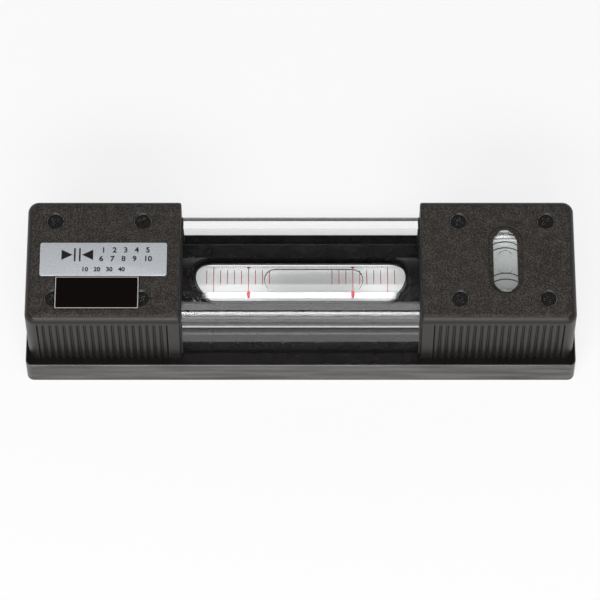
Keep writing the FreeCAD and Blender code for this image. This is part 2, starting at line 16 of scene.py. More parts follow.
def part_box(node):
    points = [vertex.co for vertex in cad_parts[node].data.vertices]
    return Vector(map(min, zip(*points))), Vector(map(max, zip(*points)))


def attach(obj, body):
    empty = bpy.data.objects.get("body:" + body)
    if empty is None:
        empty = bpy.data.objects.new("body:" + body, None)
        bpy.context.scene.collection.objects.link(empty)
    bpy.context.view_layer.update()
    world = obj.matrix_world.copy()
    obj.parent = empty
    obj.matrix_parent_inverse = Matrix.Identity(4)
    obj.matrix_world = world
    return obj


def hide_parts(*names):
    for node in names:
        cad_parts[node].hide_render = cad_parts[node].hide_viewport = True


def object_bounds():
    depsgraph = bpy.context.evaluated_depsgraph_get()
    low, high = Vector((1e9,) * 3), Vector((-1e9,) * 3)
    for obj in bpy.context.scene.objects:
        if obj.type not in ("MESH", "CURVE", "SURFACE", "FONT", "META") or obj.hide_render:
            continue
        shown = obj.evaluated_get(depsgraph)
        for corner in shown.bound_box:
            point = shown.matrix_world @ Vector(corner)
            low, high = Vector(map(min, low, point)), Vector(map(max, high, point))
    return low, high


MM = 0.001

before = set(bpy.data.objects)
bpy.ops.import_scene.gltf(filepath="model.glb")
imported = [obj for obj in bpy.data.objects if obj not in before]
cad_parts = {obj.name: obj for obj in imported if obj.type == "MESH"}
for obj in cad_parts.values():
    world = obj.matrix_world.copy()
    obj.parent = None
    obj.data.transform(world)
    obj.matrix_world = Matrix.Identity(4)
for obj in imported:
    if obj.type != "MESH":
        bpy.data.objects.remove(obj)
cad_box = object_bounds()
size_mm = (cad_box[1] - cad_box[0]) / MM
print("solids:", len(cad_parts), " size in mm:", [round(value, 1) for value in size_mm])

# %% [markdown]
# ## Camera
# The level is seen from the front and from well above, so that its top and its front both show.
# A long lens far away keeps the sides nearly parallel, which is how small instruments are shown.

# %% Place the camera
camera_elevation = math.radians(62.0)
camera_distance = 1.3725
camera_lens = 224.3
aim = Vector((-0.25, 0, 10.0)) * MM

camera = bpy.data.objects.new("camera", bpy.data.cameras.new("camera"))
bpy.context.scene.collection.objects.link(camera)
towards_camera = Vector((0, -math.cos(camera_elevation), math.sin(camera_elevation)))
camera.location = aim + towards_camera * camera_distance
camera.rotation_mode = "QUATERNION"
camera.rotation_quaternion = (-towards_camera).to_track_quat("-Z", "Y")
camera.data.lens = camera_lens
camera.data.clip_start = 0.05
camera.data.clip_end = 60
bpy.context.scene.camera = camera
bpy.context.scene.view_settings.view_transform = "Standard"
print("camera at", [round(value, 3) for value in camera.location])

# %% [markdown]
# ## Node helpers
# A material is a small tree of nodes. Two short helpers keep the trees readable: one makes a node and
# fills its inputs, with a number or with another node's output, and one opens a new material.

# %% Helpers for nodes and materials
def node(tree, kind, inputs=None, **settings):
    """New node. Each input is given by name or number, as a value or as a socket to link from."""
    made = tree.nodes.new(kind)
    for name, value in settings.items():
        setattr(made, name, value)
    for key, value in (inputs or {}).items():
        if isinstance(value, bpy.types.NodeSocket):
            tree.links.new(value, made.inputs[key])
        else:
            made.inputs[key].default_value = value
    return made


def maths(tree, operation, first, second=0.0, clamp=False):
    """Output of a Math node."""
    made = node(tree, "ShaderNodeMath", {0: first, 1: second}, operation=operation, use_clamp=clamp)
    return made.outputs[0]


def blend_colours(tree, amount, first, second):
    """Output of a colour mix."""
    mix = node(tree, "ShaderNodeMix", {0: amount, 6: first, 7: second}, data_type="RGBA")
    return mix.outputs[2]


def remap(tree, value, from_low, from_high, to_low=0.0, to_high=1.0):
    """Output of a smooth Map Range."""
    made = node(tree, "ShaderNodeMapRange", {"Value": value, "From Min": from_low, "From Max": from_high,
                                             "To Min": to_low, "To Max": to_high},
                interpolation_type="SMOOTHSTEP")
    return made.outputs["Result"]


def place(tree, stretch=(1, 1, 1)):
    """Object coordinates in millimetres, stretched along an axis if asked."""
    coordinates = node(tree, "ShaderNodeTexCoord").outputs["Object"]
    scale = [factor / MM for factor in stretch]
    return node(tree, "ShaderNodeMapping", {"Vector": coordinates, "Scale": scale}).outputs["Vector"]


def new_material(name, **plain):
    """Material with one Principled shader, and the values that are plain all over."""
    material = bpy.data.materials.new(name)
    material.use_nodes = True
    shader = material.node_tree.nodes["Principled BSDF"]
    for key, value in plain.items():
        shader.inputs[key.replace("_", " ")].default_value = value
    return material, material.node_tree, shader


def new_group(name, inputs, outputs):
    """Empty node group with named number inputs, and outputs given as name and kind."""
    group = bpy.data.node_groups.new(name, "ShaderNodeTree")
    for label, value in inputs.items():
        socket = group.interface.new_socket(label, in_out="INPUT", socket_type="NodeSocketFloat")
        socket.default_value = value
    for label, kind in outputs.items():
        group.interface.new_socket(label, in_out="OUTPUT", socket_type=kind)
    return group, group.nodes.new("NodeGroupInput").outputs, group.nodes.new("NodeGroupOutput").inputs


def use_group(tree, group, **values):
    """Outputs of a group placed in a tree, with its inputs set."""
    inputs = {key.replace("_", " "): value for key, value in values.items()}
    return node(tree, "ShaderNodeGroup", inputs, node_tree=group).outputs


print("node helpers ready")

# %% [markdown]
# ## Floor and surroundings
# The floor is one pale disc. The surroundings are a bright room with a dark ceiling: what lies near the
# horizon is white, and what hangs overhead is dark. Flat tops then stay deep black, because they mirror
# the ceiling, and upright faces pick up the white floor.

# %% Floor disc
floor_radius = 12.0
floor_shadow_share = 0.20


def floor_material():
    """White paper: mostly even for the eye, with a share of real shading that keeps the shadow."""
    material, tree, shader = new_material("floor_paper", Roughness=0.9)
    shader.inputs["Base Color"].default_value = (0.95, 0.95, 0.95, 1)
    shader.inputs["Specular IOR Level"].default_value = 0.0
    light_path = node(tree, "ShaderNodeLightPath").outputs
    seen = maths(tree, "MAXIMUM", light_path["Is Camera Ray"], light_path["Is Glossy Ray"])
    seen = maths(tree, "MAXIMUM", seen, light_path["Is Transmission Ray"])
    share = maths(tree, "MULTIPLY", seen, 1 - floor_shadow_share)
    glow = node(tree, "ShaderNodeEmission", {"Color": (1, 1, 1, 1), "Strength": 1.0})
    mix = node(tree, "ShaderNodeMixShader", {0: share, 1: shader.outputs[0], 2: glow.outputs[0]})
    tree.links.new(mix.outputs[0], tree.nodes["Material Output"].inputs["Surface"])
    return material


floor_mesh = bpy.data.meshes.new("floor")
shape = bmesh.new()
bmesh.ops.create_circle(shape, cap_ends=True, segments=96, radius=floor_radius)
shape.to_mesh(floor_mesh)
shape.free()
floor = bpy.data.objects.new("floor", floor_mesh)
bpy.context.scene.collection.objects.link(floor)
floor.data.materials.append(floor_material())
print("floor radius in m:", floor_radius)

# %% World: white horizon, dark ceiling
horizon_white = 1.0
ceiling_grey = 0.03
ceiling_starts = 0.22
ceiling_full = 0.55

world = bpy.data.worlds.new("studio")
world.use_nodes = True
bpy.context.scene.world = world
direction = node(world.node_tree, "ShaderNodeTexCoord").outputs["Generated"]
height = node(world.node_tree, "ShaderNodeSeparateXYZ", {0: direction}).outputs["Z"]
grey = remap(world.node_tree, height, ceiling_starts, ceiling_full, horizon_white, ceiling_grey)
background = world.node_tree.nodes["Background"]
world.node_tree.links.new(grey, background.inputs["Color"])
background.inputs["Strength"].default_value = 1.0
print("world from", horizon_white, "at the horizon to", ceiling_grey, "overhead")

# %% [markdown]
# ## Lamps
# One broad soft lamp hangs over the level and a little in front of it, where no flat top mirrors it to
# the camera. A stronger box stands lower in front, a little to the left, and draws the bright line along
# the shoulder of the clear cover. A broad weak panel near the horizon fills the band below that line.

# %% Soft lamp overhead, key box and fill panel in front
def soft_lamp(name, tilt_degrees, distance, length, width, radiance, side_degrees=0.0):
    """Rectangular lamp that faces the level: tilt 0 is overhead, 90 is at the horizon in front."""
    lamp = bpy.data.lights.new(name, "AREA")
    lamp.shape = "RECTANGLE"
    lamp.size = length
    lamp.size_y = width
    lamp.energy = radiance * math.pi * length * width
    holder = bpy.data.objects.new(name, lamp)
    bpy.context.scene.collection.objects.link(holder)
    tilt = math.radians(tilt_degrees)
    outward = Vector((0, -math.sin(tilt), math.cos(tilt)))
    outward.rotate(Matrix.Rotation(math.radians(side_degrees), 3, "Z"))
    holder.location = outward * distance
    holder.rotation_mode = "QUATERNION"
    holder.rotation_quaternion = outward.to_track_quat("Z", "Y")
    print(f"{name}: {lamp.energy:.2f} W")
    return holder


soft_lamp("overhead_softbox", 22, 1.3, 1.3, 0.8, 2.2)
soft_lamp("front_key", 53, 1.4, 1.1, 0.33, 11.0, side_degrees=-8)
soft_lamp("front_fill", 76, 1.6, 1.5, 0.7, 2.2)

# %% [markdown]
# ## Shared effects
# Four effects come back on several pieces. Each is a node group that works in millimetres on Object
# coordinates, so the grain keeps its real size and doesn't slide when a piece moves.

# %% Group: pebbled grain of moulded plastic
def pebble_group():
    """Fine leather-like pebbles, with slow patches on top."""
    group, given, out = new_group("pebble_grain", {"Pebble Size": 0.5},
                                  {"Height": "NodeSocketFloat", "Shade": "NodeSocketFloat"})
    where = place(group)
    rate = maths(group, "DIVIDE", 1.0, given["Pebble Size"])
    cells = node(group, "ShaderNodeTexVoronoi", {"Vector": where, "Scale": rate, "Smoothness": 0.6},
                 feature="SMOOTH_F1").outputs["Distance"]
    fine = node(group, "ShaderNodeTexNoise", {"Vector": where, "Scale": maths(group, "MULTIPLY", rate, 1.6),
                                              "Detail": 3.0}).outputs["Fac"]
    patches = node(group, "ShaderNodeTexNoise", {"Vector": where, "Scale": 0.35,
                                                 "Detail": 4.0}).outputs["Fac"]
    dome = maths(group, "SUBTRACT", 1.0, cells)
    height = maths(group, "ADD", maths(group, "MULTIPLY", dome, 0.6), maths(group, "MULTIPLY", fine, 0.6))
    shade = maths(group, "ADD", maths(group, "MULTIPLY", height, 0.9),
                  maths(group, "MULTIPLY", patches, 0.3))
    group.links.new(height, out["Height"])
    group.links.new(shade, out["Shade"])
    return group


pebble_grain = pebble_group()
print("group:", pebble_grain.name)

# %% Group: crinkle lacquer
def crinkle_group():
    """Short worm-like wrinkles of a stoved lacquer."""
    group, given, out = new_group("crinkle_lacquer", {"Wrinkle Size": 1.1},
                                  {"Height": "NodeSocketFloat", "Sheen": "NodeSocketFloat"})
    where = place(group)
    rate = maths(group, "DIVIDE", 1.0, given["Wrinkle Size"])
    warp = node(group, "ShaderNodeTexNoise", {"Vector": where, "Scale": rate, "Detail": 2.0,
                                              "Distortion": 1.4}).outputs["Fac"]
    ridge = maths(group, "ABSOLUTE", maths(group, "SUBTRACT", warp, 0.5))
    height = remap(group, ridge, 0.0, 0.12, 1.0, 0.0)
    patches = node(group, "ShaderNodeTexNoise", {"Vector": where, "Scale": 0.12,
                                                 "Detail": 3.0}).outputs["Fac"]
    group.links.new(height, out["Height"])
    group.links.new(patches, out["Sheen"])
    return group


crinkle_lacquer = crinkle_group()
print("group:", crinkle_lacquer.name)

# %% Group: grinding lines
def grinding_group():
    """Fine parallel scratches along X, as a surface grinder leaves them."""
    group, given, out = new_group("grinding_lines", {"Line Width": 0.12},
                                  {"Height": "NodeSocketFloat", "Tone": "NodeSocketFloat"})
    where = place(group, (0.02, 1, 1))
    rate = maths(group, "DIVIDE", 1.0, given["Line Width"])
    lines = node(group, "ShaderNodeTexNoise", {"Vector": where, "Scale": rate, "Detail": 5.0,
                                               "Roughness": 0.7}).outputs["Fac"]
    broad = node(group, "ShaderNodeTexNoise", {"Vector": place(group, (0.03, 0.4, 0.4)), "Scale": 1.0,
                                               "Detail": 3.0}).outputs["Fac"]
    tone = maths(group, "ADD", maths(group, "MULTIPLY", lines, 0.5), maths(group, "MULTIPLY", broad, 0.5))
    group.links.new(lines, out["Height"])
    group.links.new(tone, out["Tone"])
    return group


grinding_lines = grinding_group()
print("group:", grinding_lines.name)

# %% Group: painted highlights on the edges
def edge_glint_group():
    """Mask of the outward edges, where a painted highlight lightens a finish: 1 on an edge and 0 on a flat.
    """
    group, given, out = new_group("edge_glints", {"Reach": 0.4}, {"Edge": "NodeSocketFloat"})
    reach = maths(group, "MULTIPLY", given["Reach"], MM)
    rounded = node(group, "ShaderNodeBevel", {"Radius": reach}, samples=4).outputs["Normal"]
    flat = node(group, "ShaderNodeNewGeometry").outputs["Normal"]
    alike = node(group, "ShaderNodeVectorMath", {0: rounded, 1: flat},
                 operation="DOT_PRODUCT").outputs["Value"]
    turn = maths(group, "SUBTRACT", 1.0, alike, clamp=True)
    patchy = node(group, "ShaderNodeTexNoise", {"Vector": place(group), "Scale": 0.8,
                                                "Detail": 4.0}).outputs["Fac"]
    edge = maths(group, "MULTIPLY", remap(group, turn, 0.02, 0.2), remap(group, patchy, 0.3, 0.65))
    group.links.new(edge, out["Edge"])
    return group


edge_glints = edge_glint_group()
print("group:", edge_glints.name)

# %% [markdown]
# ## Finishes of the solids
# Each finish is one short function that returns a material. Most read a shared group for their grain
# and the edge mask for painted highlights on their edges, and then set colour, roughness and bump from them.

# %% Helpers: bump from a height, and finish for CAD nodes
def bump(tree, height, depth_mm, strength=1.0, under=None):
    """Normal from a height between 0 and 1 that stands for a depth in millimetres."""
    inputs = {"Height": height, "Distance": depth_mm * MM, "Strength": strength}
    if under is not None:
        inputs["Normal"] = under
    return node(tree, "ShaderNodeBump", inputs).outputs["Normal"]


def facing_up(tree, low=0.8, high=0.97):
    """Mask of the faces that look upwards."""
    normal = node(tree, "ShaderNodeNewGeometry").outputs["Normal"]
    return remap(tree, node(tree, "ShaderNodeSeparateXYZ", {0: normal}).outputs["Z"], low, high)


def finish_node(material, *names):
    """Gives CAD nodes their finish, in the slot they already have."""
    for name in names:
        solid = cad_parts[name]
        if not solid.material_slots:
            solid.data.materials.append(material)
        for slot in solid.material_slots:
            slot.material = material
    print(material.name, "on", ", ".join(names))


print("finish helpers ready")

# %% Grip plastic
grip_dark = (0.020, 0.017, 0.015, 1)
grip_highlight = (0.080, 0.071, 0.063, 1)


def grip_plastic():
    """Warm black moulding: pebbled on top, smoother and a little glossier on its walls and margins, with
    painted highlights on the pebbles and edges and painted shade on the walls.
    """
    material, tree, shader = new_material("grip_plastic", Specular_IOR_Level=0.3)
    grain = use_group(tree, pebble_grain, Pebble_Size=0.55)
    top = facing_up(tree)
    # The light specks on the pebbles of the top are painted highlights.
    speck = remap(tree, grain["Shade"], 0.62, 0.92)
    tone = blend_colours(tree, maths(tree, "MULTIPLY", speck, top), grip_dark, grip_highlight)
    # Faces that don't look up get half the plastic's colour: painted shade on the walls.
    tone = blend_colours(tree, top, (*[value * 0.5 for value in grip_dark[:3]], 1), tone)
    # The edges are lightened towards the light tone: a painted highlight along them.
    edge = use_group(tree, edge_glints, Reach=0.8)["Edge"]
    tree.links.new(blend_colours(tree, maths(tree, "MULTIPLY", edge, 0.4), tone, grip_highlight),
                   shader.inputs["Base Color"])
    tree.links.new(remap(tree, top, 0.0, 1.0, 0.38, 0.62), shader.inputs["Roughness"])
    share = maths(tree, "ADD", maths(tree, "MULTIPLY", top, 0.9), 0.1)
    depth = maths(tree, "MULTIPLY", grain["Height"], share)
    tree.links.new(bump(tree, depth, 0.22), shader.inputs["Normal"])
    return material


finish_node(grip_plastic(), "left_grip", "right_grip")

# %% [markdown]
# ## Base casting
# The casting is one solid with two finishes. Its sole and its sides are ground bare, and everything
# above the slab is stoved black. The height above the sole tells the two apart, with a thin line of
# lacquer where they meet.

# %% Base finish
slab_top = 12.0
lacquer_line = 11.75
lacquer_black = (0.006, 0.005, 0.005, 1)
lacquer_edge_glint = (0.05, 0.048, 0.045, 1)
iron_dark = (0.050, 0.048, 0.046, 1)
iron_light = (0.155, 0.152, 0.147, 1)


def base_finish():
    """Ground iron below the lacquer line, crinkled black lacquer above it."""
    material, tree, shader = new_material("lacquered_iron", Specular_IOR_Level=0.25)
    lines = use_group(tree, grinding_lines, Line_Width=0.10)
    crinkle = use_group(tree, crinkle_lacquer, Wrinkle_Size=1.0)
    height = node(tree, "ShaderNodeSeparateXYZ", {0: place(tree)}).outputs["Z"]
    lacquered = remap(tree, height, lacquer_line - 0.05, lacquer_line + 0.05)
    raised = remap(tree, height, slab_top + 0.3, slab_top + 1.5)
    streak = remap(tree, lines["Tone"], 0.36, 0.64)
    iron = blend_colours(tree, streak, iron_dark, iron_light)
    # The lacquer is lighter on its outward edges: a painted highlight along them.
    edge = use_group(tree, edge_glints, Reach=0.35)["Edge"]
    lacquer = blend_colours(tree, maths(tree, "MULTIPLY", edge, 0.5), lacquer_black, lacquer_edge_glint)
    tree.links.new(blend_colours(tree, lacquered, iron, lacquer), shader.inputs["Base Color"])
    bare = maths(tree, "SUBTRACT", 1.0, lacquered)
    tree.links.new(maths(tree, "MULTIPLY", bare, 0.85), shader.inputs["Metallic"])
    ground_rough = remap(tree, lines["Tone"], 0.3, 0.7, 0.34, 0.5)
    lacquer_rough = remap(tree, crinkle["Sheen"], 0.35, 0.65, 0.22, 0.38)
    rough = node(tree, "ShaderNodeMix", {0: lacquered, 2: ground_rough, 3: lacquer_rough}, data_type="FLOAT")
    tree.links.new(rough.outputs[0], shader.inputs["Roughness"])
    ground = bump(tree, maths(tree, "MULTIPLY", lines["Height"], bare), 0.012)
    wrinkles = maths(tree, "MULTIPLY", crinkle["Height"], raised)
    tree.links.new(bump(tree, wrinkles, 0.18, under=ground), shader.inputs["Normal"])
    return material


finish_node(base_finish(), "base_body")

# %% [markdown]
# ## Clear pieces
# Acrylic, glass and liquid are true refracting shaders. A lamp can't light what stands behind a
# refracting wall without very long renders, so for shadows and soft light the wall is simply clear.

# %% Clear materials
def clear_material(name, colour, refraction, roughness=0.0):
    """Refracting shader that lets lamp light and soft light straight through."""
    material, tree, shader = new_material(name, Roughness=roughness, IOR=refraction)
    shader.inputs["Base Color"].default_value = (*colour, 1)
    shader.inputs["Transmission Weight"].default_value = 1.0
    light_path = node(tree, "ShaderNodeLightPath").outputs
    soft = maths(tree, "MAXIMUM", light_path["Is Shadow Ray"], light_path["Is Diffuse Ray"])
    through = node(tree, "ShaderNodeBsdfTransparent", {"Color": (*colour, 1)})
    mix = node(tree, "ShaderNodeMixShader", {0: soft, 1: shader.outputs[0], 2: through.outputs[0]})
    tree.links.new(mix.outputs[0], tree.nodes["Material Output"].inputs["Surface"])
    return material, tree, shader


def acrylic():
    """Cast acrylic: faint ripples left by the moulding."""
    material, tree, shader = clear_material("clear_acrylic", (0.995, 0.995, 0.995), 1.49)
    ripple = node(tree, "ShaderNodeTexNoise", {"Vector": place(tree, (0.15, 1, 1)), "Scale": 0.12,
                                               "Detail": 2.0})
    tree.links.new(bump(tree, ripple.outputs["Fac"], 0.003), shader.inputs["Normal"])
    return material


def vial_glass():
    """Drawn glass tube, with very faint streaks along it."""
    material, tree, shader = clear_material("vial_glass", (1.0, 1.0, 1.0), 1.47)
    streaks = node(tree, "ShaderNodeTexNoise", {"Vector": place(tree, (0.02, 1, 1)), "Scale": 0.4,
                                                "Detail": 2.0})
    tree.links.new(bump(tree, streaks.outputs["Fac"], 0.004), shader.inputs["Normal"])
    return material


liquid_index = 1.36
bubble_index = 1 / liquid_index
liquid_clear = clear_material("vial_liquid", (0.995, 1.0, 1.0), liquid_index)[0]
gas_clear = clear_material("bubble_gas", (1.0, 1.0, 1.0), bubble_index)[0]
finish_node(acrylic(), "clear_cover")
glass_finish = vial_glass()
finish_node(glass_finish, "main_vial_glass", "cross_vial_glass")

# %% [markdown]
# ## Small parts
# Rubber, lacquer, brass, steel, enamel and plaster each get their own grain and tone. Glass pipes light
# to the white grounds behind the vials, which a render without caustics leaves out, so these two
# finishes carry a little light of their own.

# %% Finishes of the small parts
piped_light = 0.34


def speckled(name, dark, light, roughness, grain_mm, depth_mm, metallic=0.0, edge_glint_colour=None, reach=0.3,
             glow=0.0):
    """Finish with a fine grain between two tones, and painted highlights on the edges if an edge colour is
    given.
    """
    material, tree, shader = new_material(name, Metallic=metallic)
    where = place(tree)
    grain = node(tree, "ShaderNodeTexNoise", {"Vector": where, "Scale": 1 / grain_mm,
                                              "Detail": 4.0}).outputs["Fac"]
    tone = blend_colours(tree, remap(tree, grain, 0.3, 0.7), (*dark, 1), (*light, 1))
    if edge_glint_colour:
        edge = use_group(tree, edge_glints, Reach=reach)["Edge"]
        tone = blend_colours(tree, edge, tone, (*edge_glint_colour, 1))
    tree.links.new(tone, shader.inputs["Base Color"])
    if glow:
        tree.links.new(tone, shader.inputs["Emission Color"])
        shader.inputs["Emission Strength"].default_value = glow
    tree.links.new(remap(tree, grain, 0.3, 0.7, roughness - 0.05, roughness + 0.07),
                   shader.inputs["Roughness"])
    tree.links.new(bump(tree, grain, depth_mm), shader.inputs["Normal"])
    return material


# The light edge colour of the screws is a painted glint along their edges.
finish_node(speckled("black_screw", (0.008, 0.008, 0.008), (0.02, 0.019, 0.018), 0.28, 0.25, 0.01,
                     edge_glint_colour=(0.28, 0.28, 0.28), reach=0.25), "left_grip_screws", "right_grip_screws")
finish_node(speckled("seal_rubber", (0.010, 0.010, 0.010), (0.022, 0.022, 0.022), 0.7, 0.3, 0.02),
            "left_cover_seal", "right_cover_seal")
# The tube's lighter edges are a painted highlight.
finish_node(speckled("lacquered_tube", (0.006, 0.006, 0.006), (0.014, 0.013, 0.012), 0.3, 0.4, 0.01,
                     edge_glint_colour=(0.05, 0.05, 0.05)), "vial_tube")
finish_node(speckled("turned_brass", (0.55, 0.38, 0.14), (0.68, 0.50, 0.22), 0.3, 0.2, 0.01, metallic=1.0),
            "pivot_plug", "adjuster_plug")
finish_node(speckled("ground_steel", (0.42, 0.42, 0.42), (0.55, 0.55, 0.56), 0.3, 0.15, 0.01, metallic=1.0),
            "pivot_pin", "adjuster_plate", "adjuster_plate_screws", "adjusting_screw", "lock_nut",
            "leaf_spring")
finish_node(speckled("white_enamel", (0.90, 0.91, 0.91), (0.94, 0.95, 0.95), 0.45, 1.5, 0.01,
                     glow=piped_light), "vial_reflector")
finish_node(speckled("vial_plaster", (0.55, 0.54, 0.51), (0.68, 0.67, 0.64), 0.85, 0.4, 0.05),
            "left_vial_cement", "right_vial_cement")
finish_node(speckled("cradle_plastic", (0.80, 0.83, 0.81), (0.87, 0.89, 0.88), 0.4, 1.0, 0.01,
                     glow=piped_light / 3), "cross_vial_cradle")

# %% [markdown]
# ## Bare label
# The label is glossy black film with a thin light line round its edge and nothing written on it. The
# line is a mask: how far a point lies from the middle, measured against the size of the label.

# %% Label with a border line
border_inset = 0.45
border_width = 0.28
label_black = (0.005, 0.003, 0.003, 1)
border_light = (0.45, 0.43, 0.40, 1)


def label_finish():
    """Glossy black with a thin light border."""
    low, high = [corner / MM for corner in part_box("blank_label")]
    material, tree, shader = new_material("black_label", Roughness=0.16)
    axes = node(tree, "ShaderNodeSeparateXYZ", {0: place(tree)}).outputs
    nearest = None
    for index, axis in enumerate("XY"):
        middle = (low[index] + high[index]) / 2
        from_middle = maths(tree, "ABSOLUTE", maths(tree, "SUBTRACT", axes[axis], middle))
        inwards = maths(tree, "SUBTRACT", (high[index] - low[index]) / 2, from_middle)
        nearest = inwards if nearest is None else maths(tree, "MINIMUM", nearest, inwards)
    off_line = maths(tree, "ABSOLUTE", maths(tree, "SUBTRACT", nearest, border_inset))
    line = remap(tree, off_line, border_width / 2, border_width / 2 + 0.05, 1.0, 0.0)
    tree.links.new(blend_colours(tree, line, label_black, border_light), shader.inputs["Base Color"])
    return material


finish_node(label_finish(), "blank_label")

# %% [markdown]
# ## New pieces
# Liquid, bubbles, graduations and print aren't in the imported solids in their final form. They are made
# here with mesh operators, in millimetres, and turned into metres once at the end.

# %% Helpers for new pieces
def box_mm(name):
    """Lowest and highest corner of a CAD node in millimetres."""
    low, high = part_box(name)
    return low / MM, high / MM


def add_piece(name, shape, material, body, smooth=True):
    """Mesh object from a shape in millimetres, riding a body."""
    bmesh.ops.remove_doubles(shape, verts=shape.verts, dist=0.0005)
    bmesh.ops.recalc_face_normals(shape, faces=shape.faces)
    bmesh.ops.scale(shape, vec=(MM, MM, MM), verts=shape.verts)
    mesh = bpy.data.meshes.new(name)
    shape.to_mesh(mesh)
    shape.free()
    piece = bpy.data.objects.new(name, mesh)
    bpy.context.scene.collection.objects.link(piece)
    mesh.materials.append(material)
    if smooth:
        mesh.shade_smooth()
        mesh.set_sharp_from_angle(angle=math.radians(35))
    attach(piece, body)
    print(f"{name}: {len(mesh.polygons)} faces on {body}")
    return piece


def turned(profile, centre, axis, steps=96):
    """Solid of revolution: the profile is a list of (along, radius), turned about X or Y."""
    shape = bmesh.new()
    across = Vector((0, 0, 1))
    points = [shape.verts.new(centre + axis * along + across * radius) for along, radius in profile]
    edges = [shape.edges.new(pair) for pair in zip(points, points[1:])]
    bmesh.ops.spin(shape, geom=points + edges, cent=centre, axis=axis, angle=math.tau, steps=steps,
                   use_merge=True, use_duplicate=False)
    return shape


X_AXIS = Vector((1, 0, 0))
Y_AXIS = Vector((0, 1, 0))
print("piece helpers ready")

# %% [markdown]
# ### Liquid
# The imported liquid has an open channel, so that its bubble can slide without meeting it. To the eye the
# liquid fills the bore, so here it is a full barrel that reaches a hair into the glass. With no film of
# air between the two, light bends once at each wall as it does in a real vial.

# %% Liquid in both vials
liquid_lap = 0.02


def liquid_barrel(glass_name, axis, wall, nose=0.9, turns=96):
    """Barrel that fills the bore of a vial."""
    low, high = box_mm(glass_name)
    centre = (low + high) / 2
    radius = (high.z - low.z) / 2 - wall + liquid_lap
    half = max((high - low).dot(axis), 0) / 2 - wall + liquid_lap
    profile = [(-half, 0)]
    for step in range(7):
        turn = math.pi / 2 * step / 6
        profile.append((-half + nose - nose * math.cos(turn), radius - nose + nose * math.sin(turn)))
    profile += [(-along, reach) for along, reach in reversed(profile)]
    return turned(profile, centre, axis, turns)


main_wall = 1.2
cross_wall = 1.0
main_liquid = add_piece("main_liquid_fill", liquid_barrel("main_vial_glass", X_AXIS, main_wall),
                        liquid_clear, "vial_carrier")
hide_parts("main_vial_liquid")
cross_barrel = liquid_barrel("cross_vial_glass", Y_AXIS, cross_wall, turns=72)
cross_liquid = add_piece("cross_liquid_fill", cross_barrel, liquid_clear, "base")
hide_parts("cross_vial_liquid")

# %% [markdown]
# ### Bubbles
# A bubble lies against the top of the bore and has a rounded rim where liquid, gas and glass meet.
# It starts as a circle, is pulled out to its length, thickened and rounded, and its top is then bent
# to the bore.

# %% Bubble in each vial
def bubble_shape(name, along_x, rim=0.62):
    """Rounded slug of gas in the box of its CAD node."""
    low, high = box_mm(name)
    centre = (low + high) / 2
    size = high - low
    half_long = (size.x if along_x else size.y) / 2
    half_wide = (size.y if along_x else size.x) / 2
    depth = size.z
    shape = bmesh.new()
    bmesh.ops.create_circle(shape, cap_ends=True, segments=64, radius=half_wide)
    for vert in shape.verts:
        reach = vert.co.x / half_wide
        vert.co.x += math.copysign(half_long - half_wide, reach) if abs(reach) > 1e-6 else 0
    lid = list(shape.faces)
    for width in (0.35, 0.5, 0.7, 0.9):
        bmesh.ops.inset_region(shape, faces=lid, thickness=width, use_even_offset=True)
    walls = bmesh.ops.extrude_face_region(shape, geom=list(shape.faces))
    moved = [item for item in walls["geom"] if isinstance(item, bmesh.types.BMVert)]
    bmesh.ops.translate(shape, verts=moved, vec=(0, 0, -depth))
    rims = [edge for edge in shape.edges if edge.is_manifold and edge.calc_face_angle(0) > 1.0]
    bmesh.ops.bevel(shape, geom=rims, offset=rim, offset_type="OFFSET", affect="EDGES", segments=5,
                    profile=0.5, material=-1)
    bore = (half_wide ** 2 + depth ** 2) / (2 * depth)
    for vert in shape.verts:
        rise = bore - math.sqrt(max(bore ** 2 - vert.co.y ** 2, 0))
        share = (vert.co.z + depth) / depth
        vert.co.z -= rise * share
    if not along_x:
        bmesh.ops.rotate(shape, verts=shape.verts, matrix=Matrix.Rotation(math.pi / 2, 3, "Z"))
    bmesh.ops.translate(shape, verts=shape.verts, vec=(centre.x, centre.y, high.z))
    return shape


main_gas = add_piece("main_bubble_gas", bubble_shape("main_bubble", True), gas_clear, "main_bubble")
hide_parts("main_bubble")
cross_gas = add_piece("cross_bubble_gas", bubble_shape("cross_bubble", False, rim=0.3), gas_clear,
                      "cross_bubble")
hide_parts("cross_bubble")

# %% [markdown]
# ### Graduations
# The red lines are fired onto the outside of the glass, so each is a narrow strip that follows its
# curve: a short edge along the vial, spun about the vial's axis and given a film's thickness.

# %% Graduation lines and dots
glass_low, glass_high = box_mm("main_vial_glass")
vial_middle = (glass_low + glass_high) / 2
vial_radius = (glass_high.z - glass_low.z) / 2
print_gap = 0.01
print_film = 0.02
line_pitch = 2.53
first_line = 11.35
lines_each_side = 10
line_width = 0.28
short_arc = (-17.8, 25.3)
long_arc = (-39.5, 39.5)
dotted_line = 3
long_line = 8
dot_radius = 0.72
dot_lift = 0.03


def arc_strip(shape, x, width, centre, radius, from_degrees, to_degrees, steps):
    """Narrow band along X, bent round the vial."""
    start = [shape.verts.new((x + side * width / 2, centre.y, centre.z + radius)) for side in (-1, 1)]
    edge = shape.edges.new(start)
    turn = Matrix.Rotation(math.radians(from_degrees), 3, "X")
    bmesh.ops.rotate(shape, verts=start, cent=centre, matrix=turn)
    bmesh.ops.spin(shape, geom=start + [edge], cent=centre, axis=X_AXIS,
                   angle=math.radians(to_degrees - from_degrees), steps=steps, use_duplicate=False)


